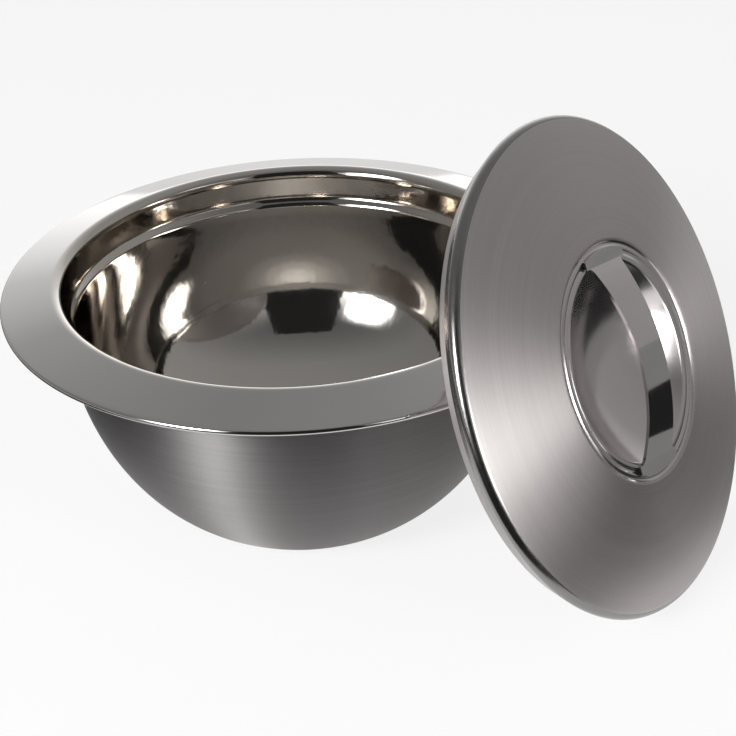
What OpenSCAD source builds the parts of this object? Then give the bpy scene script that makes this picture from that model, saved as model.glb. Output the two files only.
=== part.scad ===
// Double-walled stainless bowl with a wide sloping brim, and its insulated lid leaning on the brim.
// The origin is the middle of the bowl's base, on the table. Z points up and -Y is the front.

/* [Bowl] */
// Diameter over the brim
brim_d = 300; // [280:1:340]
// Height of the lip above the table
bowl_h = 134; // [110:1:170]
// Height of the liner's floor above the table
floor_h = 15; // [8:0.5:30]
// Thickness of the bowl's sheet steel
sheet_t = 0.8; // [0.5:0.1:1.2]

/* [Rim] */
// Clear diameter inside the lip
mouth_d = 237.2; // [220:0.2:246]
// Radius of the bend over the lip
lip_r = 4.6; // [3:0.1:6]
// Fall from the top of the lip to the middle of the brim's rolled edge
brim_drop = 8.3; // [5:0.1:14]
// Radius of the brim's rolled edge
edge_roll_r = 1.5; // [1:0.1:2.5]
// Height of the plain band under the lip
band_h = 10.9; // [7:0.1:15]
// How far the band draws in towards its foot
band_taper = 2.4; // [0.5:0.1:4]
// Width of the step under the band
ledge_w = 2.7; // [1.5:0.1:5]
// Height over which the step is drawn in
ledge_h = 5; // [3:0.1:8]
// Squareness of the liner's curve, where 2 is a plain ellipse
liner_curve = 2.6; // [2:0.05:3.2]

/* [Outer shell] */
// Height of the straight collar at the top of the shell, from the lip
collar_h = 10; // [8:0.5:16]
// Diameter of the flat base
base_d = 115; // [100:1:140]
// Squareness of the shell's curve, where 2 is a plain ellipse
shell_curve = 2.2; // [2:0.05:2.8]
// Diameter of the plate that closes the base
plate_d = 92; // [60:1:96]

/* [Lid] */
// How far the lid's edge reaches past the mouth
lid_overhang = 3.8; // [3:0.1:7]
// Room between the foot of the lid's side and the mouth
lid_seat_room = 2.1; // [1.5:0.1:5]
// Depth of the lid's sloping side
lid_side_h = 14.7; // [9:0.1:18]
// Rise of the lid's crown from its edge to the handle's cup
crown_h = 11; // [6:0.1:18]
// Radius of the lid's top edge
lid_edge_r = 4; // [2:0.1:5]
// Width of the hem folded under the lid
hem_w = 4.5; // [3:0.1:8]
// Thickness of the lid's sheet steel
lid_sheet_t = 0.7; // [0.5:0.1:0.9]

/* [Handle cup] */
// Diameter of the cup where it meets the crown
cup_d = 116.8; // [108:0.2:140]
// Depth of the cup's flange below the crown round it
flange_drop = 0.5; // [0.3:0.05:1]
// Width of the flange, from the crown to the well
flange_w = 7.4; // [6:0.1:14]
// Width of the groove round the flange
groove_w = 2.8; // [1.5:0.1:4]
// Depth of that groove
groove_depth = 0.6; // [0.3:0.1:1.5]
// Thickness of the filling left under the well
well_floor_room = 3.2; // [2.5:0.1:8]
// Radius of the bend at the well's mouth
well_bend_r = 3.4; // [1.5:0.1:5]
// Radius of the bend where the crown turns down to the cup
neck_bend_r = 2.4; // [1.5:0.1:4]

/* [Strap handle] */
// Width of the strap where it meets its feet
strap_w = 27.5; // [20:0.5:36]
// How far each side of the strap is drawn in at the middle of the bow
waist_in = 2.6; // [0.5:0.1:4]
// Thickness of the strap
strap_t = 1.5; // [1:0.1:2.5]
// Length of each flat foot
foot_l = 7; // [5:0.1:9]
// How far each foot reaches past the strap's sides
foot_out = 4; // [0.5:0.1:6]
// Rise of the strap above its feet
strap_rise = 11.7; // [6:0.1:16]
// Turn of the strap from straight up the leaning lid
strap_turn = -11.6; // [-90:0.1:90]

/* [Leaning lid] */
// Lean of the lid from upright
lid_lean = 23.6; // [15:0.1:35]
// Direction that the lid faces, from +X towards +Y
lid_bearing = -33.7; // [-90:0.1:90]
// Distance that the lid stands to the side of where it touches the brim
lid_shift = 11.7; // [-30:0.1:30]
// Room left where the lid leans on the brim
lean_gap = 0.3; // [0.2:0.1:0.6]

/* [Fits] */
// Room at welded and folded seams
seam_gap = 0.1; // [0.05:0.05:0.3]
// Room between the filling and the sheets round it
fill_gap = 0.3; // [0.2:0.1:0.8]

/* [Hidden] */
$fn = 96;
curve_steps = 32;
bend_steps = 12;
step_steps = 10;
crown_steps = 16;
waist_steps = 720;

// Rim and liner
mouth_r = mouth_d / 2;
lip_x = mouth_r + lip_r;
lip_z = bowl_h - lip_r;
band_foot_z = lip_z - band_h;
band_foot_r = mouth_r - band_taper;
liner_r = band_foot_r - ledge_w;
liner_top_z = band_foot_z - ledge_h;
liner_b = liner_top_z - floor_h;
edge_x = brim_d / 2 - edge_roll_r;
edge_z = bowl_h - brim_drop;
// The brim's upper face touches both the lip's bend and the rolled edge
rim_run = edge_x - lip_x;
rim_fall = lip_z - edge_z;
rim_slope = atan2(rim_fall, rim_run) + asin((lip_r - edge_roll_r) / norm([rim_run, rim_fall]));
roll_open = acos((edge_roll_r - sheet_t) / edge_roll_r);

// Outer shell
shell_r = mouth_r + 2 * sheet_t + seam_gap;
collar_z = bowl_h - collar_h;
base_r = base_d / 2;
plate_r = plate_d / 2;
shell_b = collar_z / pow(1 - pow(base_r / shell_r, shell_curve), 1 / shell_curve);
shell_end = asin(pow(collar_z / shell_b, shell_curve / 2));

// Lid, in its own frame: the axis is Z, and the crown's edge is at zero
lid_r = mouth_r + lid_overhang;
seat_r = mouth_r - lid_seat_room;
cup_r = cup_d / 2;
lid_edge_x = lid_r - lid_edge_r;
// The crown is part of a ball, and its bends at the edge and at the neck touch that ball from inside
crown_ball_r = norm([(pow(lid_edge_x, 2) - pow(cup_r, 2) - pow(crown_h, 2)) / (2 * crown_h), lid_edge_x]);
crown_centre_z = -sqrt(pow(crown_ball_r, 2) - pow(lid_edge_x, 2));
lid_edge_z = crown_centre_z + sqrt(pow(crown_ball_r - lid_edge_r, 2) - pow(lid_edge_x, 2));
edge_tilt = asin(lid_edge_x / (crown_ball_r - lid_edge_r));
neck_turn = acos(1 - flange_drop / neck_bend_r);
neck_x = cup_r + neck_bend_r * sin(neck_turn);
neck_z = crown_centre_z + sqrt(pow(crown_ball_r - neck_bend_r, 2) - pow(neck_x, 2));
neck_tilt = asin(neck_x / (crown_ball_r - neck_bend_r));
// The side touches the bend of the top edge
side_run = lid_edge_x - seat_r;
side_rise = lid_side_h + lid_edge_z;
side_tilt = atan2(side_run, side_rise) + asin(lid_edge_r / norm([side_run, side_rise]));
pan_z = -lid_side_h + lid_sheet_t;

// Cup and strap
flange_z = neck_z + neck_bend_r - flange_drop;
flange_r = cup_r - seam_gap;
groove_r = flange_r - groove_w;
neck_foot_z = flange_z - groove_depth - 2 * lid_sheet_t;
// The well is part of a ball that the bend at its mouth touches
well_r = flange_r - flange_w;
well_bend_z = flange_z - well_bend_r;
well_depth = flange_z - (pan_z + 2 * lid_sheet_t + well_floor_room);
well_reach = (pow(well_r, 2) + pow(well_depth, 2)) / (2 * well_depth);
well_slope = asin(well_r / well_reach);
well_ball_r = well_reach - well_bend_r;
well_centre_z = flange_z - well_depth + well_ball_r;
foot_top_z = flange_z + strap_t;
strap_half = groove_r - foot_l;
strap_r = (pow(strap_half, 2) + pow(strap_rise, 2)) / (2 * strap_rise);
strap_centre_z = foot_top_z + strap_rise - strap_r;
foot_w = strap_w + 2 * foot_out;
waist_r = (pow(strap_half, 2) + pow(waist_in, 2)) / (2 * waist_in);

// Where the leaning lid's middle lies: its lowest edge is on the table and its pan is on the brim
lid_edge_low = lid_edge_x * cos(lid_lean) - lid_edge_z * sin(lid_lean) + lid_edge_r;
lid_seat_low = seat_r * cos(lid_lean) + lid_side_h * sin(lid_lean);
lid_z = max(lid_edge_low, lid_seat_low);
lid_out = edge_x + tan(lid_lean) * (edge_z - lid_z) + (edge_roll_r + lean_gap - pan_z) / cos(lid_lean);

// Points of an arc about [x, z]
function arc(x, z, r, from, to, steps) =
    [for (i = [0 : steps]) let (a = from + (to - from) * i / steps) [x + r * cos(a), z + r * sin(a)]];

// A bowl's curve: upright at [a, top] and flat at the axis, b below the top. The angle end stops it short.
function bowl_curve(a, b, n, top, end = 90) =
    [for (i = [0 : curve_steps]) let (t = end * i / curve_steps)
        [a * pow(cos(t), 2 / n), top - b * pow(sin(t), 2 / n)]];

// Radius of such a curve at the height z
function bowl_curve_r(a, b, n, top, z) = a * pow(1 - pow((top - z) / b, n), 1 / n);

// The step between the band and the liner's wall, moved out by grow
function step_curve(grow) =
    [for (i = [0 : step_steps - 1]) let (t = i / step_steps)
        [band_foot_r + grow - ledge_w * (1 - cos(180 * t)) / 2, band_foot_z - ledge_h * t]];

// Points of the crown between two radii, lowered by drop, with trim points left out at both ends
function crown_curve(from, to, drop, trim = 0) =
    [for (i = [trim : crown_steps - trim]) let (r = from + (to - from) * i / crown_steps)
        [r, crown_centre_z + sqrt(pow(crown_ball_r, 2) - pow(r, 2)) - drop]];

// The well's curve from its mouth down to the axis, moved out by grow
function well_curve(grow) =
    [for (i = [1 : curve_steps]) let (a = well_slope * (1 - i / curve_steps))
        [(well_ball_r + grow) * sin(a), well_centre_z - (well_ball_r + grow) * cos(a)]];

// The list the other way round
function back(list) = [for (i = [len(list) - 1 : -1 : 0]) list[i]];

// Moves what is drawn in the lid's own frame to where the lid leans
module lean_lid() {
    rotate([0, 0, lid_bearing])
        translate([lid_out, lid_shift, lid_z])
            rotate([0, 90 - lid_lean, 0])
                children();
}

// One drawn sheet: rolled edge, brim, lip, band, step and liner
module inner_liner() {
    brim_face = 90 - rim_slope;
    rolled_edge = arc(edge_x, edge_z, edge_roll_r, brim_face + roll_open - 360, brim_face, 2 * bend_steps);
    inside = concat(
        arc(lip_x, lip_z, lip_r, brim_face, 180, bend_steps),
        step_curve(0),
        bowl_curve(liner_r, liner_b, liner_curve, liner_top_z));
    outside = concat(
        arc(lip_x, lip_z, lip_r - sheet_t, brim_face, 180, bend_steps),
        step_curve(sheet_t),
        bowl_curve(liner_r + sheet_t, liner_b + sheet_t, liner_curve, liner_top_z));
    color([0.80, 0.79, 0.78])
        rotate_extrude()
            polygon(concat(rolled_edge, inside, back(outside)));
}

// Satin outer wall, straight at the collar and flat under the base
module outer_shell() {
    outside = bowl_curve(shell_r, shell_b, shell_curve, collar_z, shell_end);
    inside = bowl_curve(shell_r - sheet_t, shell_b - sheet_t, shell_curve, collar_z, shell_end);
    color([0.55, 0.55, 0.55])
        rotate_extrude()
            polygon(concat(
                [[shell_r - sheet_t, lip_z], [shell_r, lip_z]],
                outside,
                [[plate_r, 0], [plate_r, sheet_t]],
                back(inside)));
}

// Foam between the two walls
module bowl_insulation() {
    grow = sheet_t + fill_gap;
    shell_side = bowl_curve(shell_r - grow, shell_b - grow, shell_curve, collar_z, shell_end);
    liner_side = bowl_curve(liner_r + grow, liner_b + grow, liner_curve, liner_top_z);
    wall = [for (p = shell_side) if (p[1] < liner_top_z && p[1] > 2 * grow) p];
    foot_r = bowl_curve_r(shell_r - grow, shell_b - grow, shell_curve, collar_z, grow) - fill_gap;
    color([0.93, 0.88, 0.68])
        rotate_extrude()
            polygon(concat(
                [[wall[0][0], liner_top_z]],
                wall,
                [[foot_r, grow], [0, grow]],
                back(liner_side)));
}

// Disc let into the base
module base_plate() {
    color([0.60, 0.60, 0.60])
        cylinder(r = plate_r - seam_gap, h = sheet_t);
}

// Brushed crown with its sloping side, its hem and the neck that holds the cup
module lid_cover() {
    crown_from = neck_x * crown_ball_r / (crown_ball_r - neck_bend_r);
    crown_to = lid_edge_x * crown_ball_r / (crown_ball_r - lid_edge_r);
    side_in = lid_sheet_t / cos(side_tilt);
    outside = concat(
        [[cup_r, neck_foot_z]],
        arc(neck_x, neck_z, neck_bend_r, 90 + neck_turn, 90 - neck_tilt, bend_steps),
        crown_curve(crown_from, crown_to, 0, 1),
        arc(lid_edge_x, lid_edge_z, lid_edge_r, 90 - edge_tilt, -side_tilt, bend_steps),
        [[seat_r, -lid_side_h], [seat_r - hem_w, -lid_side_h], [seat_r - hem_w, pan_z]]);
    inside = concat(
        [[seat_r - side_in + lid_sheet_t * tan(side_tilt), pan_z]],
        arc(lid_edge_x, lid_edge_z, lid_edge_r - lid_sheet_t, -side_tilt, 90 - edge_tilt, bend_steps),
        back(crown_curve(cup_r + lid_sheet_t, lid_edge_x, lid_sheet_t)),
        [[cup_r + lid_sheet_t, neck_foot_z]]);
    color([0.50, 0.50, 0.50])
        lean_lid()
            rotate_extrude()
                polygon(concat(outside, inside));
}

// Flat sheet that the hem holds under the lid
module lid_bottom_pan() {
    color([0.60, 0.60, 0.60])
        lean_lid()
            translate([0, 0, pan_z])
                cylinder(r = seat_r - lid_sheet_t - seam_gap, h = lid_sheet_t);
}

// Foam inside the lid, round the handle's cup
module lid_insulation() {
    grow = lid_sheet_t + fill_gap;
    low_z = pan_z + grow;
    top_z = neck_foot_z - fill_gap;
    neck_side_r = cup_r + lid_sheet_t + fill_gap;
    edge_side_r = lid_edge_x - 2 * grow;
    well_side = [for (p = well_curve(grow)) if (p[1] < top_z) p];
    well_mouth_r = sqrt(pow(well_ball_r + grow, 2) - pow(well_centre_z - top_z, 2));
    color([0.93, 0.88, 0.68])
        lean_lid()
            rotate_extrude()
                polygon(concat(
                    [[0, low_z], [seat_r - 2 * grow, low_z], [edge_side_r, lid_edge_z - grow]],
                    back(crown_curve(neck_side_r, edge_side_r, 2 * grow)),
                    [[neck_side_r, top_z], [well_mouth_r, top_z]],
                    well_side));
}

// Polished cup: grooved flange for the strap's feet and a dished well for the fingers
module handle_cup() {
    groove = [for (i = [0 : step_steps]) let (t = i / step_steps)
        [flange_r - groove_w * t, flange_z - groove_depth * sin(180 * t)]];
    top = concat(
        groove,
        arc(well_r, well_bend_z, well_bend_r, 90, 90 + well_slope, bend_steps),
        well_curve(0));
    under = concat(
        [for (p = groove) [p[0], p[1] - lid_sheet_t]],
        arc(well_r, well_bend_z, well_bend_r - lid_sheet_t, 90, 90 + well_slope, bend_steps),
        well_curve(lid_sheet_t));
    color([0.82, 0.81, 0.80])
        lean_lid()
            rotate_extrude()
                polygon(concat(top, back(under)));
}

// Bowed strap whose flat feet follow the flange's round outline
module strap_handle() {
    color([0.84, 0.83, 0.82])
        lean_lid()
            rotate([0, 0, strap_turn])
                intersection() {
                    rotate([90, 0, 0])
                        linear_extrude(height = foot_w, center = true)
                            strap_side();
                    translate([0, 0, flange_z])
                        linear_extrude(height = strap_rise + 2 * strap_t)
                            strap_top();
                }
}

// The strap seen from above: drawn in at the middle, with feet wider than the strap
module strap_top() {
    difference() {
        square([2 * strap_half, strap_w], center = true);
        for (side = [-1, 1])
            translate([0, side * (strap_w / 2 - waist_in + waist_r)])
                circle(r = waist_r, $fn = waist_steps);
    }
    difference() {
        intersection() {
            circle(r = groove_r);
            square([2 * groove_r, foot_w], center = true);
        }
        square([2 * strap_half, 2 * foot_w], center = true);
    }
}

// The strap seen from its side: a bow between two flat feet
module strap_side() {
    difference() {
        union() {
            intersection() {
                translate([0, strap_centre_z])
                    circle(r = strap_r);
                translate([-strap_half, flange_z])
                    square([2 * strap_half, strap_rise + 2 * strap_t]);
            }
            translate([-2 * groove_r, flange_z])
                square([4 * groove_r, strap_t]);
        }
        intersection() {
            translate([0, strap_centre_z])
                circle(r = strap_r - strap_t);
            translate([-strap_half, flange_z - strap_t])
                square([2 * strap_half, strap_rise + 2 * strap_t]);
        }
    }
}

inner_liner();
outer_shell();
bowl_insulation();
base_plate();
lid_cover();
lid_bottom_pan();
lid_insulation();
handle_cup();
strap_handle();
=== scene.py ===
import math

import bpy
from mathutils import Matrix, Vector


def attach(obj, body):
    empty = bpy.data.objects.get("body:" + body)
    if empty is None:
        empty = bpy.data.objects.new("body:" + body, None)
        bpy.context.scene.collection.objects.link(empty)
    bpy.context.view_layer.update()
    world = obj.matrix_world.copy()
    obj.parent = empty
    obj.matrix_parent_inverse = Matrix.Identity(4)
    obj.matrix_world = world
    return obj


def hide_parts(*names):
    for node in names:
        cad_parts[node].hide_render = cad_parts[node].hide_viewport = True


# Double-walled bowl with its lid leaning on the brim, dressed in polished and brushed steel
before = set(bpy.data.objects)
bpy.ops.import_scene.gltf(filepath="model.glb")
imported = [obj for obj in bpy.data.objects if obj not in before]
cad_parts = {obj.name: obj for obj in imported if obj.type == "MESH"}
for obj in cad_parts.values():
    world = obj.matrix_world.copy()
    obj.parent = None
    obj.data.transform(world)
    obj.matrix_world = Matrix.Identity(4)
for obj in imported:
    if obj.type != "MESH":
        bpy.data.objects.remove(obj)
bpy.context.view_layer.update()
mm = 0.001  # sizes of the pieces are in millimetres, the scene is in metres
mergeGap = 0.01 * mm  # points closer than this become one
smoothTurn = math.radians(32)  # edges with a greater turn stay sharp
print("frame:", ", ".join(sorted(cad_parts)))


# Outlines, as lists of (radius, height)

def arcPoints(x, z, r, start, end, steps):
    turns = [math.radians(start + (end - start) * i / steps) for i in range(steps + 1)]
    return [(x + r * math.cos(t), z + r * math.sin(t)) for t in turns]


def bowlCurve(a, b, power, top, end, steps):
    turns = [math.radians(end * i / steps) for i in range(steps)]
    curve = [(a * math.cos(t) ** (2 / power), top - b * math.sin(t) ** (2 / power)) for t in turns]
    last = math.radians(end)
    foot = 0 if end == 90 else a * math.cos(last) ** (2 / power)
    return curve + [(foot, top - b * math.sin(last) ** (2 / power))]


def between(a, b, steps):  # points inside a straight stretch
    return [(a[0] + (b[0] - a[0]) * i / steps, a[1] + (b[1] - a[1]) * i / steps) for i in range(1, steps)]


# Modelling steps

def drawOutline(name, outline, closed):
    bpy.ops.object.select_all(action="DESELECT")
    bpy.ops.mesh.primitive_plane_add(size=mm, location=(outline[0][0] * mm, 0, outline[0][1] * mm))
    piece = bpy.context.object
    piece.name = name
    bpy.ops.object.mode_set(mode="EDIT")
    bpy.ops.mesh.merge(type="CENTER")  # the plane shrinks to the outline's first point
    ends = outline[1:] + outline[:1] if closed else outline[1:]
    for (x, z), (nextX, nextZ) in zip(outline, ends):
        bpy.ops.mesh.extrude_region_move(
            TRANSFORM_OT_translate={"value": ((nextX - x) * mm, 0, (nextZ - z) * mm)})
    bpy.ops.object.mode_set(mode="OBJECT")
    bpy.ops.object.transform_apply(location=True)
    return piece


def spinOutline(name, outline, steps, closed=True):
    piece = drawOutline(name, outline, closed)
    bpy.ops.object.mode_set(mode="EDIT")
    bpy.ops.mesh.select_all(action="SELECT")
    bpy.ops.mesh.spin(steps=steps, angle=2 * math.pi, center=(0, 0, 0), axis=(0, 0, 1))
    bpy.ops.mesh.select_all(action="SELECT")
    bpy.ops.mesh.remove_doubles(threshold=mergeGap)
    bpy.ops.mesh.normals_make_consistent(inside=False)
    bpy.ops.object.mode_set(mode="OBJECT")
    bpy.ops.object.shade_smooth_by_angle(angle=smoothTurn)
    print("spun", name, len(piece.data.polygons), "faces")
    return piece


def thickenOutline(name, outline, depth):  # a closed flat outline, grown evenly to both sides
    piece = drawOutline(name, outline, closed=True)
    bpy.ops.object.mode_set(mode="EDIT")
    bpy.ops.mesh.select_all(action="SELECT")
    bpy.ops.mesh.remove_doubles(threshold=mergeGap)
    bpy.ops.mesh.edge_face_add()
    bpy.ops.mesh.extrude_region_move(TRANSFORM_OT_translate={"value": (0, depth * mm, 0)})
    bpy.ops.mesh.select_all(action="SELECT")
    bpy.ops.transform.translate(value=(0, -depth / 2 * mm, 0))
    bpy.ops.mesh.normals_make_consistent(inside=False)
    bpy.ops.object.mode_set(mode="OBJECT")
    return piece


def leanLid(piece):  # from the lid's own axis to where the lid leans
    piece.matrix_world = lidFrame
    bpy.ops.object.transform_apply(location=True, rotation=True)


# Bowl: liner with its lip and brim

rim = {
    "brimR": 150, "mouthR": 118.6, "lipR": 4.6, "lipTop": 134, "edgeDrop": 8.3, "edgeRollR": 1.5,
    "bandH": 10.9, "bandTaper": 2.4, "ledgeW": 2.7, "ledgeH": 5, "floorH": 15, "linerPower": 2.6,
    "sheet": 0.8,
    "spinSteps": 224, "curveSteps": 72, "bendSteps": 22, "ledgeSteps": 20, "brimSteps": 12, "bandSteps": 8,
}


def ledgeCurve(grow):
    footR = rim["mouthR"] - rim["bandTaper"] + grow
    footZ = rim["lipTop"] - rim["lipR"] - rim["bandH"]
    wide, high = rim["ledgeW"], rim["ledgeH"]
    shares = [i / rim["ledgeSteps"] for i in range(rim["ledgeSteps"])]
    return [(footR - wide * (1 - math.cos(math.pi * t)) / 2, footZ - high * t) for t in shares]


def linerSide(grow, face):  # from the lip down to the middle of the floor
    lipX, lipZ = rim["mouthR"] + rim["lipR"], rim["lipTop"] - rim["lipR"]
    wallTop = lipZ - rim["bandH"] - rim["ledgeH"]
    wallR = rim["mouthR"] - rim["bandTaper"] - rim["ledgeW"]
    lip = arcPoints(lipX, lipZ, rim["lipR"] - grow, face, 180, rim["bendSteps"])
    ledge = ledgeCurve(grow)
    band = between(lip[-1], ledge[0], rim["bandSteps"])
    depth = wallTop - rim["floorH"] + grow
    wall = bowlCurve(wallR + grow, depth, rim["linerPower"], wallTop, 90, rim["curveSteps"])
    return lip + band + ledge + wall


def makeLiner():
    lipX, lipZ = rim["mouthR"] + rim["lipR"], rim["lipTop"] - rim["lipR"]
    edgeX, edgeZ = rim["brimR"] - rim["edgeRollR"], rim["lipTop"] - rim["edgeDrop"]
    run, fall = edgeX - lipX, lipZ - edgeZ
    slope = math.atan2(fall, run) + math.asin((rim["lipR"] - rim["edgeRollR"]) / math.hypot(run, fall))
    face = 90 - math.degrees(slope)
    openTurn = math.degrees(math.acos((rim["edgeRollR"] - rim["sheet"]) / rim["edgeRollR"]))
    roll = arcPoints(edgeX, edgeZ, rim["edgeRollR"], face + openTurn - 360, face, 2 * rim["bendSteps"])
    inside = linerSide(0, face)
    outside = linerSide(rim["sheet"], face)[::-1]
    under = between(outside[-1], roll[0], rim["brimSteps"])
    top = between(roll[-1], inside[0], rim["brimSteps"])
    return spinOutline("linerPiece", outside + under + roll + top + inside, rim["spinSteps"], closed=False)


# Bowl: outer shell

shell = {
    "gap": 0.1, "collarZ": 124, "topZ": 129.4, "baseR": 57.5, "plateR": 46, "power": 2.2,
    "spinSteps": 224, "curveSteps": 64, "collarSteps": 4,
}


def makeShell():
    outR, sheet = rim["mouthR"] + 2 * rim["sheet"] + shell["gap"], rim["sheet"]
    power, top = shell["power"], shell["collarZ"]
    depth = top / (1 - (shell["baseR"] / outR) ** power) ** (1 / power)
    end = math.degrees(math.asin((top / depth) ** (power / 2)))
    outside = bowlCurve(outR, depth, power, top, end, shell["curveSteps"])
    inside = bowlCurve(outR - sheet, depth - sheet, power, top, end, shell["curveSteps"])[::-1]
    rimIn, rimOut = (outR - sheet, shell["topZ"]), (outR, shell["topZ"])
    collar = between(rimOut, outside[0], shell["collarSteps"])
    base = [(shell["plateR"], 0), (shell["plateR"], sheet)]
    return spinOutline("shellPiece", [rimIn, rimOut] + collar + outside + base + inside, shell["spinSteps"])


# Lid: cover, cup and strap on the lid's own axis, then leaned on the brim

lid = {
    "overhang": 3.8, "seatRoom": 2.1, "sideH": 14.7, "crownH": 11, "edgeR": 4, "hemW": 4.5, "sheet": 0.7,
    "cupR": 58.4, "neckBendR": 2.4, "flangeDrop": 0.5, "grooveDepth": 0.6, "crownPast": 0.5,
    "lean": 23.6, "bearing": -33.7, "shift": 11.7, "leanGap": 0.3,
    "spinSteps": 224, "crownSteps": 48, "bendSteps": 24, "sideSteps": 8,
}
lidR = rim["mouthR"] + lid["overhang"]
seatR = rim["mouthR"] - lid["seatRoom"]
edgeX = lidR - lid["edgeR"]
ballR = math.hypot((edgeX ** 2 - lid["cupR"] ** 2 - lid["crownH"] ** 2) / (2 * lid["crownH"]), edgeX)
ballZ = -math.sqrt(ballR ** 2 - edgeX ** 2)  # the crown is part of a ball
edgeZ = ballZ + math.sqrt((ballR - lid["edgeR"]) ** 2 - edgeX ** 2)
panZ = lid["sheet"] - lid["sideH"]
neckTurn = math.acos(1 - lid["flangeDrop"] / lid["neckBendR"])
neckX = lid["cupR"] + lid["neckBendR"] * math.sin(neckTurn)
neckZ = ballZ + math.sqrt((ballR - lid["neckBendR"]) ** 2 - neckX ** 2)
flangeZ = neckZ + lid["neckBendR"] - lid["flangeDrop"]


def lidPlace():
    lean = math.radians(lid["lean"])
    edgeLow = edgeX * math.cos(lean) - edgeZ * math.sin(lean) + lid["edgeR"]
    seatLow = seatR * math.cos(lean) + lid["sideH"] * math.sin(lean)
    z = max(edgeLow, seatLow)
    brimEdgeX, brimEdgeZ = rim["brimR"] - rim["edgeRollR"], rim["lipTop"] - rim["edgeDrop"]
    reach = (rim["edgeRollR"] + lid["leanGap"] - panZ) / math.cos(lean)
    out = brimEdgeX + math.tan(lean) * (brimEdgeZ - z) + reach
    turn = Matrix.Rotation(math.radians(lid["bearing"]), 4, "Z")
    tip = Matrix.Rotation(math.pi / 2 - lean, 4, "Y")
    return turn @ Matrix.Translation(Vector((out, lid["shift"], z)) * mm) @ tip


lidFrame = lidPlace()


def crownPoints(start, end, drop, steps):
    radii = [start + (end - start) * i / steps for i in range(1, steps)]
    return [(r, ballZ + math.sqrt(ballR ** 2 - r ** 2) - drop) for r in radii]


def makeCover():
    sheet, cupR = lid["sheet"], lid["cupR"]
    neckTilt = math.degrees(math.asin(neckX / (ballR - lid["neckBendR"])))
    edgeTilt = math.degrees(math.asin(edgeX / (ballR - lid["edgeR"])))
    run, rise = edgeX - seatR, lid["sideH"] + edgeZ
    sideTilt = math.atan2(run, rise) + math.asin(lid["edgeR"] / math.hypot(run, rise))
    sideIn = sheet / math.cos(sideTilt)
    sideDown = -math.degrees(sideTilt)
    neckFoot = flangeZ - lid["grooveDepth"] - 2 * sheet
    neckStart = 90 + math.degrees(neckTurn)
    neck = arcPoints(neckX, neckZ, lid["neckBendR"], neckStart, 90 - neckTilt, lid["bendSteps"])
    edge = arcPoints(edgeX, edgeZ, lid["edgeR"], 90 - edgeTilt, sideDown, lid["bendSteps"])
    crown = crownPoints(neck[-1][0], edge[0][0], 0, lid["crownSteps"])
    sideFoot = (seatR, -lid["sideH"])
    side = between(edge[-1], sideFoot, lid["sideSteps"])
    hem = [sideFoot, (seatR - lid["hemW"], -lid["sideH"]), (seatR - lid["hemW"], panZ)]
    underEdge = arcPoints(edgeX, edgeZ, lid["edgeR"] - sheet, sideDown, 90 - edgeTilt, lid["bendSteps"])
    under = crownPoints(cupR + sheet, edgeX, sheet, lid["crownSteps"])[::-1]
    inside = [(seatR - sideIn + sheet * math.tan(sideTilt), panZ)] + underEdge + under
    outline = [(cupR, neckFoot)] + neck + crown + edge + side + hem + inside + [(cupR + sheet, neckFoot)]
    piece = spinOutline("coverPiece", outline, lid["spinSteps"])
    leanLid(piece)
    return piece


cup = {
    "gap": 0.1, "flangeW": 7.4, "grooveW": 2.8, "floorRoom": 3.2, "bendR": 3.4,
    "ringIn": 0.5, "ringW": 3.2, "ringDepth": 0.5,
    "spinSteps": 160, "curveSteps": 56, "bendSteps": 18, "grooveSteps": 16, "flangeSteps": 6,
}
flangeR = lid["cupR"] - cup["gap"]
grooveR = flangeR - cup["grooveW"]
wellR = flangeR - cup["flangeW"]


def makeCup():
    sheet, bendR, steps = lid["sheet"], cup["bendR"], cup["curveSteps"]
    depth = flangeZ - (panZ + 2 * sheet + cup["floorRoom"])
    reach = (wellR ** 2 + depth ** 2) / (2 * depth)
    slope = math.asin(wellR / reach)
    bendEnd = 90 + math.degrees(slope)
    dishR = reach - bendR
    dishZ = flangeZ - depth + dishR  # the well is part of a ball

    def dip(startR, width, deep, grow):  # one rounded groove in the flange
        shares = [i / cup["grooveSteps"] for i in range(cup["grooveSteps"] + 1)]
        return [(startR - width * t, flangeZ - deep * math.sin(math.pi * t) - grow) for t in shares]

    def side(grow):
        groove = dip(flangeR, cup["grooveW"], lid["grooveDepth"], grow)
        ring = dip(grooveR - cup["ringIn"], cup["ringW"], cup["ringDepth"], grow)
        bend = arcPoints(wellR, flangeZ - bendR, bendR - grow, 90, bendEnd, cup["bendSteps"])
        turns = [slope * (1 - i / steps) for i in range(1, steps)]
        well = [((dishR + grow) * math.sin(t), dishZ - (dishR + grow) * math.cos(t)) for t in turns]
        middle = (0, dishZ - dishR - grow)
        return groove + ring + between(ring[-1], bend[0], cup["flangeSteps"]) + bend + well + [middle]

    piece = spinOutline("cupPiece", side(sheet)[::-1] + side(0), cup["spinSteps"], closed=False)
    leanLid(piece)
    return piece


strap = {
    "width": 27.5, "waistIn": 2.6, "thick": 1.5, "footL": 7, "footOut": 4, "flareR": 2.5, "rise": 11.7,
    "turn": -11.6, "edgeBevel": 0.35, "bevelTurn": 18,
    "bowSteps": 56, "roundSteps": 20, "flareSteps": 8, "bevelSteps": 3,
}


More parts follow.
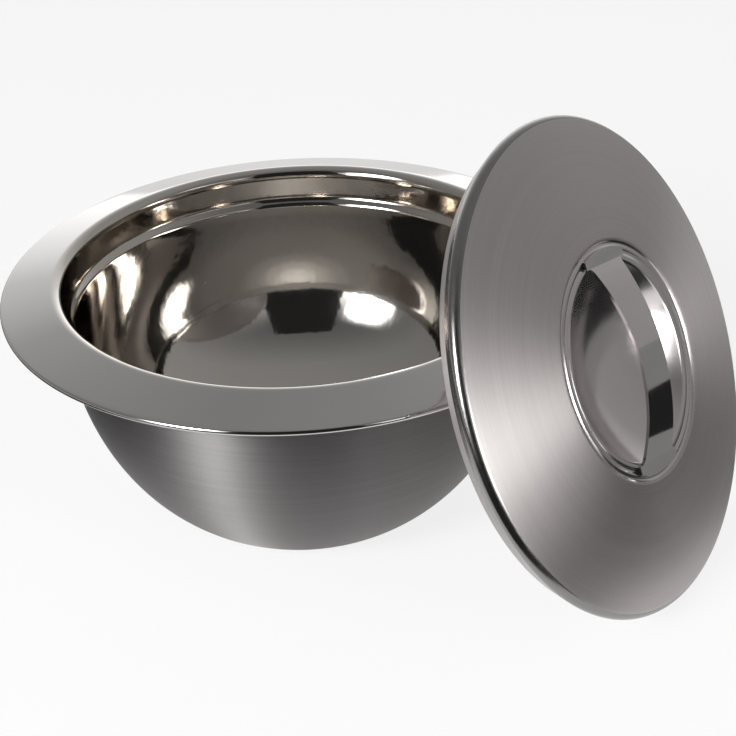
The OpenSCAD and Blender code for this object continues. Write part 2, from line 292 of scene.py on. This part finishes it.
def strapTop(half):  # the strap seen from above, drawn in at the middle and with wider feet
    wide, footHalf, flareR = strap["width"] / 2, strap["width"] / 2 + strap["footOut"], strap["flareR"]
    waistR = (half ** 2 + strap["waistIn"] ** 2) / (2 * strap["waistIn"])
    waistY = wide - strap["waistIn"] + waistR
    flareX = half - flareR
    sweep = math.degrees(math.asin(footHalf / grooveR))
    roundEnd = arcPoints(0, 0, grooveR, sweep, -sweep, strap["roundSteps"])
    foot = [(half, footHalf)] + roundEnd + [(half, -footHalf)]
    reach = math.degrees(math.asin(flareX / waistR))
    waist = arcPoints(0, waistY, waistR, -90 - reach, -90 + reach, strap["bowSteps"])
    flare = arcPoints(flareX, waist[-1][1] + flareR, flareR, -90, 0, strap["flareSteps"])[1:]
    corner = [(-x, y) for x, y in flare[::-1]] + waist + flare
    return corner + foot + [(x, -y) for x, y in corner[::-1]] + [(-x, -y) for x, y in foot]


def makeStrap():
    half, thick, rise = grooveR - strap["footL"], strap["thick"], strap["rise"]
    bowR = (half ** 2 + rise ** 2) / (2 * rise)
    bowZ = flangeZ + thick + rise - bowR
    reach = math.degrees(math.asin(half / bowR))
    innerReach = math.degrees(math.acos((flangeZ - bowZ) / (bowR - thick)))
    top = arcPoints(0, bowZ, bowR, 90 + reach, 90 - reach, strap["bowSteps"])
    low = arcPoints(0, bowZ, bowR - thick, 90 - innerReach, 90 + innerReach, strap["bowSteps"])
    footEnd = grooveR + strap["footL"]  # trimmed round below
    right = [(footEnd, flangeZ + thick), (footEnd, flangeZ)]
    left = [(-footEnd, flangeZ), (-footEnd, flangeZ + thick)]
    blankW, trimH = 2 * strap["width"], 8 * rise  # both reach past what the trim leaves
    piece = thickenOutline("strapPiece", top + right + low + left, blankW)
    trim = thickenOutline("strapTrim", strapTop(half), trimH)
    trim.rotation_euler = (math.pi / 2, 0, 0)
    bpy.ops.object.transform_apply(rotation=True)
    bpy.ops.object.select_all(action="DESELECT")
    bpy.context.view_layer.objects.active = piece
    cut = piece.modifiers.new("roundFeet", "BOOLEAN")
    cut.operation, cut.solver, cut.object = "INTERSECT", "EXACT", trim
    bpy.ops.object.modifier_apply(modifier=cut.name)
    bpy.data.objects.remove(trim)
    soften = piece.modifiers.new("softEdges", "BEVEL")
    soften.width, soften.segments = strap["edgeBevel"] * mm, strap["bevelSteps"]
    soften.limit_method, soften.angle_limit = "ANGLE", math.radians(strap["bevelTurn"])
    bpy.ops.object.modifier_apply(modifier=soften.name)
    bpy.ops.object.select_all(action="DESELECT")
    piece.select_set(True)
    bpy.ops.object.shade_smooth_by_angle(angle=smoothTurn)
    level = piece.modifiers.new("levelFaces", "WEIGHTED_NORMAL")  # the strap stays flat across its width
    level.keep_sharp = True
    bpy.ops.object.modifier_apply(modifier=level.name)
    piece.matrix_world = lidFrame @ Matrix.Rotation(math.radians(strap["turn"]), 4, "Z")
    bpy.ops.object.transform_apply(location=True, rotation=True)
    print("made strapPiece", len(piece.data.polygons), "faces")
    return piece


linerPiece = makeLiner()
shellPiece = makeShell()
coverPiece = makeCover()
cupPiece = makeCup()
strapPiece = makeStrap()

for piece, body, node, slot in (
        (linerPiece, "bowl", "inner_liner", "polished_steel"),
        (shellPiece, "bowl", "outer_shell", "satin_steel"),
        (coverPiece, "lid", "lid_cover", "brushed_steel"),
        (cupPiece, "lid", "handle_cup", "polished_steel"),
        (strapPiece, "lid", "strap_handle", "polished_steel")):
    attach(piece, body)
    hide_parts(node)


# Finishes

def newFinish(name):
    finish = bpy.data.materials.new(name)
    finish.use_nodes = True
    return finish, finish.node_tree, finish.node_tree.nodes["Principled BSDF"]


def feed(tree, socket, value):  # a link where the value is another node's output, otherwise a plain setting
    if isinstance(value, bpy.types.NodeSocket):
        tree.links.new(value, socket)
    else:
        socket.default_value = value


def addNode(tree, kind, inputs=(), **settings):
    node = tree.nodes.new("ShaderNode" + kind)
    for key, value in settings.items():
        setattr(node, key, value)
    for key, value in dict(inputs).items():
        feed(tree, node.inputs[key], value)
    return node


def calc(tree, operation, a, b=0.0):
    return addNode(tree, "Math", {0: a, 1: b}, operation=operation).outputs[0]


def noise(tree, vector, scale, detail=2.0, roughness=0.5):
    inputs = {"Vector": vector, "Scale": scale, "Detail": detail, "Roughness": roughness}
    return addNode(tree, "TexNoise", inputs).outputs["Fac"]


noiseLow, noiseHigh = 0.25, 0.75  # most of a noise lies between these


def remap(tree, value, low, high):
    inputs = {"Value": value, "From Min": noiseLow, "From Max": noiseHigh, "To Min": low, "To Max": high}
    return addNode(tree, "MapRange", inputs).outputs["Result"]


def mixTone(tree, share, first, second):
    inputs = {"Factor": share, "A": first, "B": second}
    return addNode(tree, "Mix", inputs, data_type="RGBA").outputs["Result"]


def turnedPlace(tree, place):  # Object coordinates seen from the piece's own axis
    spot = addNode(tree, "TexCoord").outputs["Object"]
    inputs = {"Vector": spot, "Location": place.translation, "Rotation": place.to_euler()}
    own = addNode(tree, "Mapping", inputs, vector_type="TEXTURE").outputs["Vector"]
    axes = addNode(tree, "SeparateXYZ", {0: own}).outputs
    flat = addNode(tree, "CombineXYZ", {"X": axes["X"], "Y": axes["Y"]}).outputs[0]
    radius = addNode(tree, "VectorMath", {0: flat}, operation="LENGTH").outputs["Value"]
    out = addNode(tree, "VectorMath", {0: spot, 1: place.translation}, operation="SUBTRACT").outputs[0]
    axis = place.to_3x3() @ Vector((0, 0, 1))
    around = addNode(tree, "VectorMath", {0: axis, 1: out}, operation="CROSS_PRODUCT").outputs[0]
    return axes, radius, around


def ringVector(tree, axes, across, stretch):  # slow along the ring, fast across it
    x = calc(tree, "MULTIPLY", axes["X"], stretch)
    y = calc(tree, "MULTIPLY", axes["Y"], stretch)
    return addNode(tree, "CombineXYZ", {"X": x, "Y": y, "Z": across}).outputs[0]


shellLook = {
    "dark": (0.185, 0.177, 0.177, 1), "pale": (0.268, 0.256, 0.256, 1), "roughLow": 0.46, "roughHigh": 0.54,
    "anisotropy": 0.9, "hairs": 3600, "bands": 520, "hairLength": 14, "bandLength": 5, "depth": 0.00001,
}
crownLook = {
    "dark": (0.475, 0.445, 0.437, 1), "pale": (0.577, 0.543, 0.534, 1), "roughLow": 0.42, "roughHigh": 0.48,
    "anisotropy": 0.72, "hairs": 4200, "bands": 300, "hairLength": 9, "bandLength": 4, "depth": 0.000006,
}
brush = {"hairShare": 0.7, "bandShare": 0.3, "turn": 0.25}  # highlights stretch across the brush lines


def brushedSteel(name, place, look):
    finish, tree, shader = newFinish(name)
    axes, radius, around = turnedPlace(tree, place)
    across = calc(tree, "ADD", axes["Z"], radius)
    hairWay = ringVector(tree, axes, calc(tree, "MULTIPLY", across, look["hairs"]), look["hairLength"])
    bandWay = ringVector(tree, axes, calc(tree, "MULTIPLY", across, look["bands"]), look["bandLength"])
    hairs = noise(tree, hairWay, scale=1.0, detail=3.0, roughness=0.6)
    bands = noise(tree, bandWay, scale=1.0)
    hairPart = calc(tree, "MULTIPLY", hairs, brush["hairShare"])
    bandPart = calc(tree, "MULTIPLY", bands, brush["bandShare"])
    grain = calc(tree, "ADD", hairPart, bandPart)
    tone = mixTone(tree, remap(tree, grain, 0, 1), look["dark"], look["pale"])
    feed(tree, shader.inputs["Base Color"], tone)
    feed(tree, shader.inputs["Roughness"], remap(tree, grain, look["roughLow"], look["roughHigh"]))
    shader.inputs["Metallic"].default_value = 1
    shader.inputs["Anisotropic"].default_value = look["anisotropy"]
    shader.inputs["Anisotropic Rotation"].default_value = brush["turn"]
    feed(tree, shader.inputs["Tangent"], around)
    bump = addNode(tree, "Bump", {"Strength": 1.0, "Distance": look["depth"], "Height": hairs})
    feed(tree, shader.inputs["Normal"], bump.outputs[0])
    return finish


linerLook = {
    "warm": (0.582, 0.545, 0.497, 1), "cool": (0.628, 0.6, 0.568, 1), "roughLow": 0.04, "roughHigh": 0.09,
    "tints": 9, "smears": 60, "waves": 22, "waveDepth": 0.00006,
    "ripples": 24, "rippleRise": 7, "rippleDepth": 0.00004,
}
brimLook = {
    "warm": (0.57, 0.552, 0.543, 1), "cool": (0.618, 0.605, 0.6, 1), "roughLow": 0.04, "roughHigh": 0.09,
    "tints": 9, "smears": 60, "waves": 22, "waveDepth": 0.00006,
}
strapLook = {
    "warm": (0.61, 0.568, 0.567, 1), "cool": (0.65, 0.61, 0.612, 1), "roughLow": 0.05, "roughHigh": 0.10,
    "tints": 30, "smears": 140, "waves": 40, "waveDepth": 0.00004,
}
cupLook = {
    "warm": (0.60, 0.555, 0.552, 1), "cool": (0.625, 0.59, 0.59, 1), "roughLow": 0.15, "roughHigh": 0.21,
    "tints": 30, "smears": 140, "waves": 40, "waveDepth": 0.00004,
}
# a darker copy of the lid's steel for its edge, side and hem: painted shade
edgePaintedShadeLook = {
    "warm": (0.254, 0.243, 0.24, 1), "cool": (0.294, 0.283, 0.28, 1), "roughLow": 0.2, "roughHigh": 0.27,
    "tints": 20, "smears": 140, "waves": 40, "waveDepth": 0.00004,
}


def polishedSteel(name, look):
    finish, tree, shader = newFinish(name)
    spot = addNode(tree, "TexCoord").outputs["Object"]
    tints = remap(tree, noise(tree, spot, look["tints"]), 0, 1)
    feed(tree, shader.inputs["Base Color"], mixTone(tree, tints, look["warm"], look["cool"]))
    smears = noise(tree, spot, look["smears"], detail=4.0, roughness=0.6)
    feed(tree, shader.inputs["Roughness"], remap(tree, smears, look["roughLow"], look["roughHigh"]))
    shader.inputs["Metallic"].default_value = 1
    waves = noise(tree, spot, look["waves"], detail=1.0)
    bump = addNode(tree, "Bump", {"Strength": 1.0, "Distance": look["waveDepth"], "Height": waves})
    if "ripples" in look:  # they run down the wall, as drawing leaves them
        axes = addNode(tree, "SeparateXYZ", {0: spot}).outputs
        flat = addNode(tree, "CombineXYZ", {"X": axes["X"], "Y": axes["Y"]}).outputs[0]
        around = addNode(tree, "VectorMath", {0: flat}, operation="NORMALIZE").outputs[0]
        high = calc(tree, "MULTIPLY", axes["Z"], look["rippleRise"])
        rise = addNode(tree, "CombineXYZ", {"Z": high}).outputs[0]
        way = addNode(tree, "VectorMath", {0: around, 1: rise}, operation="ADD").outputs[0]
        ripples = noise(tree, way, look["ripples"], detail=1.0)
        bump = addNode(tree, "Bump", {"Strength": 1.0, "Distance": look["rippleDepth"], "Height": ripples,
                                      "Normal": bump.outputs[0]})
    feed(tree, shader.inputs["Normal"], bump.outputs[0])
    return finish


foamLook = {
    "pale": (0.93, 0.88, 0.68, 1), "deep": (0.80, 0.72, 0.50, 1), "rough": 0.9,
    "cells": 900, "depth": 0.0004, "relief": 0.6,
}


def rigidFoam(name):
    finish, tree, shader = newFinish(name)
    spot = addNode(tree, "TexCoord").outputs["Object"]
    cells = addNode(tree, "TexVoronoi", {"Vector": spot, "Scale": foamLook["cells"]}).outputs["Distance"]
    feed(tree, shader.inputs["Base Color"], mixTone(tree, cells, foamLook["deep"], foamLook["pale"]))
    shader.inputs["Roughness"].default_value = foamLook["rough"]
    inputs = {"Strength": foamLook["relief"], "Distance": foamLook["depth"], "Height": cells}
    feed(tree, shader.inputs["Normal"], addNode(tree, "Bump", inputs).outputs[0])
    return finish


def setFinish(piece, finish):
    piece.data.materials.clear()
    piece.data.materials.append(finish)


def finishOutside(piece, place, startR, finish):  # another finish past a radius round the piece's own axis
    piece.data.materials.append(finish)
    bpy.ops.object.select_all(action="DESELECT")
    piece.select_set(True)
    bpy.context.view_layer.objects.active = piece
    bpy.ops.object.mode_set(mode="EDIT")
    bpy.ops.mesh.select_mode(type="FACE")
    bpy.ops.mesh.select_all(action="DESELECT")
    bpy.ops.object.mode_set(mode="OBJECT")
    ownPlace = place.inverted()
    for face in piece.data.polygons:
        face.select = (ownPlace @ face.center).xy.length > startR * mm
    bpy.ops.object.mode_set(mode="EDIT")
    piece.active_material_index = len(piece.data.materials) - 1
    bpy.ops.object.material_slot_assign()
    bpy.ops.object.mode_set(mode="OBJECT")


bowlBrushed = brushedSteel("bowlBrushed", Matrix(), shellLook)
lidBrushed = brushedSteel("lidBrushed", lidFrame, crownLook)
foam = rigidFoam("rigidFoam")
setFinish(linerPiece, polishedSteel("linerPolished", linerLook))
setFinish(cupPiece, polishedSteel("cupSatin", cupLook))
setFinish(strapPiece, polishedSteel("strapPolished", strapLook))
setFinish(shellPiece, bowlBrushed)
setFinish(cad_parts["base_plate"], bowlBrushed)
setFinish(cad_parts["lid_bottom_pan"], lidBrushed)
for node in ("bowl_insulation", "lid_insulation"):
    setFinish(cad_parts[node], foam)

# The lid's rounded edge, side and hem are smoother than its crown and carry a darker copy of its steel,
# painted shade, and the brim is less warm than the liner
setFinish(coverPiece, lidBrushed)
edgeStart = edgeX * ballR / (ballR - lid["edgeR"]) + lid["crownPast"]
finishOutside(coverPiece, lidFrame, edgeStart, polishedSteel("edgeSatinPaintedShade", edgePaintedShadeLook))
finishOutside(linerPiece, Matrix(), rim["mouthR"] + rim["lipR"], polishedSteel("brimPolished", brimLook))
print("finishes set")


# Studio: pale floor, glowing grey and white cards out of the picture that show only in reflections (painted
# reflections), a soft box and a dim panel on each side, grey room

floorLook = {"size": 12, "colour": (0.92, 0.92, 0.92, 1), "rough": 0.8, "glow": 0.82}


def makeFloor():
    bpy.ops.object.select_all(action="DESELECT")
    bpy.ops.mesh.primitive_plane_add(size=floorLook["size"])
    floor = bpy.context.object
    floor.name = "floor"
    finish, tree, shader = newFinish("paleFloor")
    shader.inputs["Base Color"].default_value = floorLook["colour"]
    shader.inputs["Roughness"].default_value = floorLook["rough"]
    shader.inputs["Specular IOR Level"].default_value = 0.0
    path = addNode(tree, "LightPath").outputs
    mirrored = calc(tree, "MAXIMUM", path["Is Glossy Ray"], path["Is Transmission Ray"])
    seen = calc(tree, "MAXIMUM", path["Is Camera Ray"], mirrored)
    white = addNode(tree, "Emission", {"Strength": 1.0})
    share = calc(tree, "MULTIPLY", seen, floorLook["glow"])
    mix = addNode(tree, "MixShader", {0: share, 1: shader.outputs[0], 2: white.outputs[0]})
    feed(tree, tree.nodes["Material Output"].inputs["Surface"], mix.outputs[0])
    setFinish(floor, finish)


# each card glows with its grey and shows only in reflections: painted reflections of darker and brighter
# floor round the picture
cards = {  # flat on the floor from a corner, turned along the picture's border, or upright
    "frontDarkReflection": {"corner": (-0.9, -1.4, 0.0005), "size": (1.8, 1.16), "turn": 0, "grey": 0.03},
    "leftDarkReflection": {"corner": (-0.86, -0.25, 0.0005), "size": (0.7, 1.2), "turn": 5, "grey": 0.05},
    "rightGreyReflection": {"corner": (0.2, -0.24, 0.0005), "size": (0.8, 1.3), "turn": -11.75, "grey": 0.27},
    "rightFront": {"corner": (0.2, -0.24, 0.0006), "size": (0.5, 0.15), "turn": -11.75, "grey": 0.04},
    "rightStrip": {"corner": (0.379, -0.236, 0.0007), "size": (0.29, 0.4), "turn": 17.3, "grey": 0.02},
    "whiteStrip": {"corner": (0.568, -0.171, 0.0009), "size": (0.35, 1.5), "turn": 223, "grey": 1.1},
    "farRightGreyReflection": {"corner": (1.0, -3, 0.0004), "size": (5, 6), "turn": 0, "grey": 0.27},
    "backOfCamera": {"corner": (-0.7, -1.4, 0), "size": (1.2, 2.2), "turn": 0, "grey": 0.02,
                     "upright": True},
}


def makeCard(name, card):
    turn = Matrix.Rotation(math.radians(card["turn"]), 3, "Z")
    if "upright" in card:
        turn = turn @ Matrix.Rotation(math.pi / 2, 3, "X")
    width, length = card["size"]
    bpy.ops.object.select_all(action="DESELECT")
    bpy.ops.mesh.primitive_plane_add(size=1, rotation=turn.to_euler())
    sheet = bpy.context.object
    sheet.name = name
    sheet.scale = (width, length, 1)
    sheet.location = Vector(card["corner"]) + turn @ Vector((width / 2, length / 2, 0))
    # only reflections see the card: a painted reflection, neither a lamp nor a real mat
    sheet.visible_camera = sheet.visible_diffuse = sheet.visible_shadow = False
    finish, tree = newFinish(name)[:2]
    glow = addNode(tree, "Emission", {"Color": (card["grey"],) * 3 + (1,), "Strength": 1.0})
    feed(tree, tree.nodes["Material Output"].inputs["Surface"], glow.outputs[0])
    setFinish(sheet, finish)


softBoxes = {
    "leftBox": {"azimuth": -47, "elevation": 29, "distance": 2.0, "size": (1.2, 1.2), "light": 46,
                "fade": {"left": 0.6, "right": 0.35, "low": 0.25, "high": 0.6}},
    "leftPanel": {"azimuth": -50, "elevation": 27, "distance": 2.2, "size": (1.9, 2.0), "light": 2.4,
                  "fade": {"left": 0.8, "right": 0.06, "low": 0.04, "high": 0.8}},
    "rightBox": {"azimuth": 50, "elevation": 17, "distance": 2.0, "size": (1.2, 1.4), "light": 20,
                 "fade": {"left": 0.5, "right": 0.6, "low": 0.1, "high": 0.7}},
    "rightPanel": {"azimuth": 46, "elevation": 28, "distance": 2.2, "size": (1.9, 2.4), "light": 1.7,
                   "fade": {"left": 0.08, "right": 0.9, "low": 0.02, "high": 0.9}},
}
boxAim = (0, 0, 0.12)  # the boxes stand round this spot and face it
fadePower = 2.0


def makeSoftBox(name, box):
    turn, rise = math.radians(box["azimuth"]), math.radians(box["elevation"])
    way = Vector((math.sin(turn) * math.cos(rise), -math.cos(turn) * math.cos(rise), math.sin(rise)))
    bpy.ops.object.select_all(action="DESELECT")
    bpy.ops.mesh.primitive_plane_add(size=1, location=way * box["distance"] + Vector(boxAim))
    card = bpy.context.object
    card.name = name
    card.rotation_euler = way.to_track_quat("Z", "Y").to_euler()
    card.scale = (*box["size"], 1)
    card.visible_camera = False
    finish, tree = newFinish(name)[:2]
    spot = addNode(tree, "SeparateXYZ", {0: addNode(tree, "TexCoord").outputs["Object"]}).outputs
    shine = 1.0
    for side, axis, sign in (("left", "X", 1), ("right", "X", -1), ("low", "Y", 1), ("high", "Y", -1)):
        inside = calc(tree, "ADD", calc(tree, "MULTIPLY", spot[axis], sign), 0.5)
        fade = addNode(tree, "MapRange", {"Value": inside, "From Max": box["fade"][side]},
                       interpolation_type="SMOOTHSTEP")
        shine = calc(tree, "MULTIPLY", shine, fade.outputs["Result"])
    power = calc(tree, "MULTIPLY", calc(tree, "POWER", shine, fadePower), box["light"])
    glow = addNode(tree, "Emission", {"Strength": power})
    clear = addNode(tree, "BsdfTransparent")  # a faded border hides nothing behind it
    both = addNode(tree, "AddShader", {0: glow.outputs[0], 1: clear.outputs[0]})
    feed(tree, tree.nodes["Material Output"].inputs["Surface"], both.outputs[0])
    setFinish(card, finish)


room = {  # grey of the room, from the front to the back
    "greys": {-1.0: 0.05, -0.5: 0.16, -0.1: 0.28, 0.5: 0.32, 0.77: 0.5, 0.9: 0.85, 0.97: 1.4, 1.0: 1.7},
    "rightShare": 0.2,
}


def makeRoom():
    world = bpy.data.worlds.new("room")
    bpy.context.scene.world = world
    world.use_nodes = True
    tree = world.node_tree
    way = addNode(tree, "SeparateXYZ", {0: addNode(tree, "TexCoord").outputs["Generated"]}).outputs
    depth = addNode(tree, "MapRange", {"Value": way["Y"], "From Min": -1.0, "From Max": 1.0})
    ramp = addNode(tree, "ValToRGB", {"Fac": depth.outputs["Result"]})
    for i, (place, grey) in enumerate(room["greys"].items()):
        stop = ramp.color_ramp.elements[i] if i < 2 else ramp.color_ramp.elements.new((place + 1) / 2)
        stop.position = (place + 1) / 2
        stop.color = (grey, grey, grey, 1)
    feed(tree, tree.nodes["Background"].inputs["Color"], ramp.outputs["Color"])
    lean = calc(tree, "ADD", calc(tree, "MULTIPLY", way["X"], room["rightShare"]), 1.0)
    feed(tree, tree.nodes["Background"].inputs["Strength"], lean)


makeFloor()
for name, card in cards.items():
    makeCard(name, card)
for name, box in softBoxes.items():
    makeSoftBox(name, box)
makeRoom()
print("studio set")


# Camera at the photograph's angle

view = {
    "aim": (0, 0, 0.134), "distance": 1.1, "elevation": 26.87, "pan": -1.76, "tilt": -2.81, "roll": 3.57,
    "lens": 105.7, "sensor": 36, "clipStart": 0.01,
}


def placeCamera():
    rise = math.radians(view["elevation"])
    ahead = Vector((0, math.cos(rise), -math.sin(rise)))
    right = Vector((1, 0, 0))
    pan = Matrix.Rotation(math.radians(view["pan"]), 3, right.cross(ahead))
    ahead, right = pan @ ahead, pan @ right
    ahead = Matrix.Rotation(math.radians(view["tilt"]), 3, right) @ ahead
    roll = Matrix.Rotation(math.radians(view["roll"]), 3, ahead)
    right, up = roll @ right, roll @ right.cross(ahead)
    bpy.ops.object.camera_add()
    camera = bpy.context.object
    place = Matrix((right, up, -ahead)).transposed().to_4x4()
    spot = Vector((0, -math.cos(rise), math.sin(rise))) * view["distance"]
    place.translation = Vector(view["aim"]) + spot
    camera.matrix_world = place
    camera.data.lens, camera.data.sensor_width = view["lens"], view["sensor"]
    camera.data.clip_start = view["clipStart"]
    bpy.context.scene.camera = camera


placeCamera()
bpy.context.scene.view_settings.view_transform = "Standard"
print("camera set")
